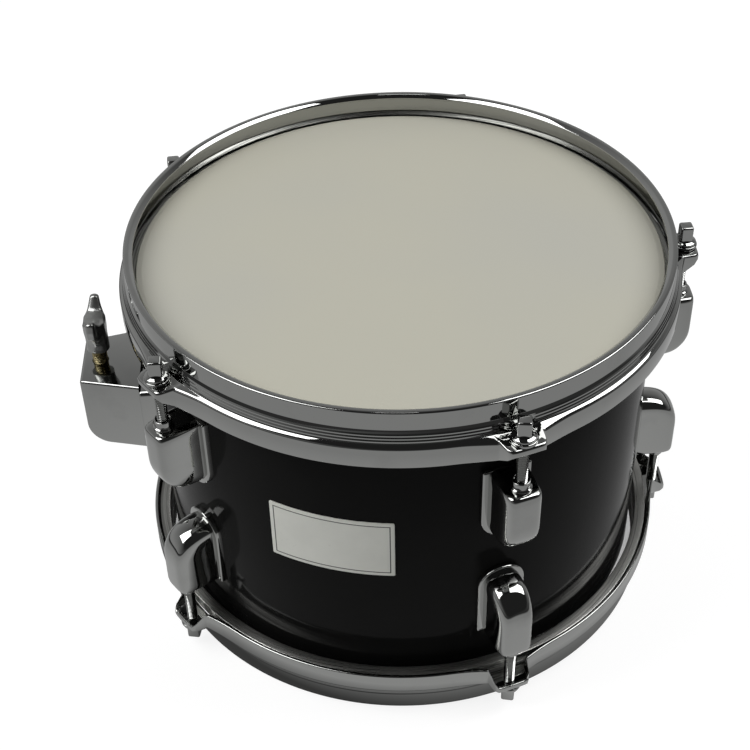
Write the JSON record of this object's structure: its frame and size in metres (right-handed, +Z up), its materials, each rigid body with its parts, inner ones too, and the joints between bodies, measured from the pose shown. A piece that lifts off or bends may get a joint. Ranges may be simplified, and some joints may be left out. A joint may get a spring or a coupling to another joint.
{
  "type": "tom-tom drum",
  "caption": "Ten-inch tom-tom drum with tensioned heads held by pressed steel hoops, rods and lugs at both ends, and a cast bracket for a stand's arm.",
  "frame": {"origin": "centre of the base of the drum's box, on the plane that the lower hoop's rim rests on; the drum's own axis stands 7.1 mm to +X of it, because the bracket reaches further out than the lugs", "axes": "+Z up along the drum's axis from the resonant head to the batter head; the bracket points to -X, rod and lug 1 of each end to +X"},
  "size_m": [0.3164, 0.2914, 0.2],
  "materials": {
    "shell_lacquer": "wood shell under black high-gloss lacquer outside",
    "badge_plate": "satin cream printed plate",
    "coated_film": "polyester film with a matt off-white coating",
    "clear_film": "clear polyester film",
    "flesh_hoop_metal": "satin",
    "plain_steel": "zinc plated, semi-bright",
    "wing_bolt_steel": "cast wings, chrome plated, with a yellowish zinc thread",
    "lug_chrome": "bright chrome over a casting",
    "bracket_chrome": "bright chrome over a casting",
    "rod_chrome": "chrome plated steel",
    "hoop_chrome": "bright chrome over pressed steel",
    "vent_chrome": "bright chrome"
  },
  "bodies": {
    "drum": {"shell": "shell_lacquer", "badge": "badge_plate", "vent_eyelet": "vent_chrome", "batter_film": "coated_film", "resonant_film": "clear_film", "batter_flesh_hoop": "flesh_hoop_metal", "resonant_flesh_hoop": "flesh_hoop_metal", "bracket_foot": "bracket_chrome", "bracket_housing": "bracket_chrome", "bracket_backing_plate": "plain_steel", "bracket_screw_1": "plain_steel", "bracket_screw_2": "plain_steel", "bracket_screw_3": "plain_steel", "bracket_screw_4": "plain_steel", "batter_lug_1": "lug_chrome", "batter_lug_2": "lug_chrome", "batter_lug_3": "lug_chrome", "batter_lug_4": "lug_chrome", "batter_lug_5": "lug_chrome", "batter_nut_1": "plain_steel", "batter_nut_2": "plain_steel", "batter_nut_3": "plain_steel", "batter_nut_4": "plain_steel", "batter_nut_5": "plain_steel", "resonant_lug_1": "lug_chrome", "resonant_lug_2": "lug_chrome", "resonant_lug_3": "lug_chrome", "resonant_lug_4": "lug_chrome", "resonant_lug_5": "lug_chrome", "resonant_nut_1": "plain_steel", "resonant_nut_2": "plain_steel", "resonant_nut_3": "plain_steel", "resonant_nut_4": "plain_steel", "resonant_nut_5": "plain_steel"},
    "batter_hoop_set": {"batter_hoop": "hoop_chrome", "batter_washer_1": "rod_chrome", "batter_washer_2": "rod_chrome", "batter_washer_3": "rod_chrome", "batter_washer_4": "rod_chrome", "batter_washer_5": "rod_chrome"},
    "batter_rod_turning_1": {"batter_rod_1": "rod_chrome"},
    "batter_rod_turning_2": {"batter_rod_2": "rod_chrome"},
    "batter_rod_turning_3": {"batter_rod_3": "rod_chrome"},
    "batter_rod_turning_4": {"batter_rod_4": "rod_chrome"},
    "batter_rod_turning_5": {"batter_rod_5": "rod_chrome"},
    "resonant_hoop_set": {"resonant_hoop": "hoop_chrome", "resonant_washer_1": "rod_chrome", "resonant_washer_2": "rod_chrome", "resonant_washer_3": "rod_chrome", "resonant_washer_4": "rod_chrome", "resonant_washer_5": "rod_chrome"},
    "resonant_rod_turning_1": {"resonant_rod_1": "rod_chrome"},
    "resonant_rod_turning_2": {"resonant_rod_2": "rod_chrome"},
    "resonant_rod_turning_3": {"resonant_rod_3": "rod_chrome"},
    "resonant_rod_turning_4": {"resonant_rod_4": "rod_chrome"},
    "resonant_rod_turning_5": {"resonant_rod_5": "rod_chrome"},
    "clamp": {"clamp_block": "plain_steel"},
    "wing": {"wing_bolt": "wing_bolt_steel"}
  },
  "joints": [
    {"name": "batter_hoop_lift", "type": "slide", "parent": "drum", "child": "batter_hoop_set", "axis": [0, 0, 1], "range_m": [0, 0.015]},
    {"name": "batter_rod_turn_1", "type": "hinge", "parent": "batter_hoop_set", "child": "batter_rod_turning_1", "pos_m": [0.1498, 0, 0.186], "axis": [0, 0, 1], "range_deg": [0, 5110]},
    {"name": "batter_rod_turn_2", "type": "hinge", "parent": "batter_hoop_set", "child": "batter_rod_turning_2", "pos_m": [0.0512, 0.13572, 0.186], "axis": [0, 0, 1], "range_deg": [0, 5110]},
    {"name": "batter_rod_turn_3", "type": "hinge", "parent": "batter_hoop_set", "child": "batter_rod_turning_3", "pos_m": [-0.10835, 0.08388, 0.186], "axis": [0, 0, 1], "range_deg": [0, 5110]},
    {"name": "batter_rod_turn_4", "type": "hinge", "parent": "batter_hoop_set", "child": "batter_rod_turning_4", "pos_m": [-0.10835, -0.08388, 0.186], "axis": [0, 0, 1], "range_deg": [0, 5110]},
    {"name": "batter_rod_turn_5", "type": "hinge", "parent": "batter_hoop_set", "child": "batter_rod_turning_5", "pos_m": [0.0512, -0.13572, 0.186], "axis": [0, 0, 1], "range_deg": [0, 5110]},
    {"name": "resonant_hoop_lift", "type": "slide", "parent": "drum", "child": "resonant_hoop_set", "axis": [0, 0, -1], "range_m": [0, 0.015]},
    {"name": "resonant_rod_turn_1", "type": "hinge", "parent": "resonant_hoop_set", "child": "resonant_rod_turning_1", "pos_m": [0.1498, 0, 0.014], "axis": [0, 0, -1], "range_deg": [0, 5110]},
    {"name": "resonant_rod_turn_2", "type": "hinge", "parent": "resonant_hoop_set", "child": "resonant_rod_turning_2", "pos_m": [0.0512, -0.13572, 0.014], "axis": [0, 0, -1], "range_deg": [0, 5110]},
    {"name": "resonant_rod_turn_3", "type": "hinge", "parent": "resonant_hoop_set", "child": "resonant_rod_turning_3", "pos_m": [-0.10835, -0.08388, 0.014], "axis": [0, 0, -1], "range_deg": [0, 5110]},
    {"name": "resonant_rod_turn_4", "type": "hinge", "parent": "resonant_hoop_set", "child": "resonant_rod_turning_4", "pos_m": [-0.10835, 0.08388, 0.014], "axis": [0, 0, -1], "range_deg": [0, 5110]},
    {"name": "resonant_rod_turn_5", "type": "hinge", "parent": "resonant_hoop_set", "child": "resonant_rod_turning_5", "pos_m": [0.0512, 0.13572, 0.014], "axis": [0, 0, -1], "range_deg": [0, 5110]},
    {"name": "clamp_travel", "type": "slide", "parent": "drum", "child": "clamp", "axis": [0, 0, -1], "range_m": [0, 0.006]},
    {"name": "wing_bolt_turn", "type": "hinge", "parent": "clamp", "child": "wing", "pos_m": [-0.1487, 0, 0.1338], "axis": [0, 0, -1], "range_deg": [0, 1730]}
  ],
  "couplings": [
    {"joint": "batter_rod_turn_1", "follows": "batter_hoop_lift", "rad_per_m": 5936.9},
    {"joint": "batter_rod_turn_2", "follows": "batter_hoop_lift", "rad_per_m": 5936.9},
    {"joint": "batter_rod_turn_3", "follows": "batter_hoop_lift", "rad_per_m": 5936.9},
    {"joint": "batter_rod_turn_4", "follows": "batter_hoop_lift", "rad_per_m": 5936.9},
    {"joint": "batter_rod_turn_5", "follows": "batter_hoop_lift", "rad_per_m": 5936.9},
    {"joint": "resonant_rod_turn_1", "follows": "resonant_hoop_lift", "rad_per_m": 5936.9},
    {"joint": "resonant_rod_turn_2", "follows": "resonant_hoop_lift", "rad_per_m": 5936.9},
    {"joint": "resonant_rod_turn_3", "follows": "resonant_hoop_lift", "rad_per_m": 5936.9},
    {"joint": "resonant_rod_turn_4", "follows": "resonant_hoop_lift", "rad_per_m": 5936.9},
    {"joint": "resonant_rod_turn_5", "follows": "resonant_hoop_lift", "rad_per_m": 5936.9},
    {"joint": "wing_bolt_turn", "follows": "clamp_travel", "rad_per_m": 5026.5}
  ]
}
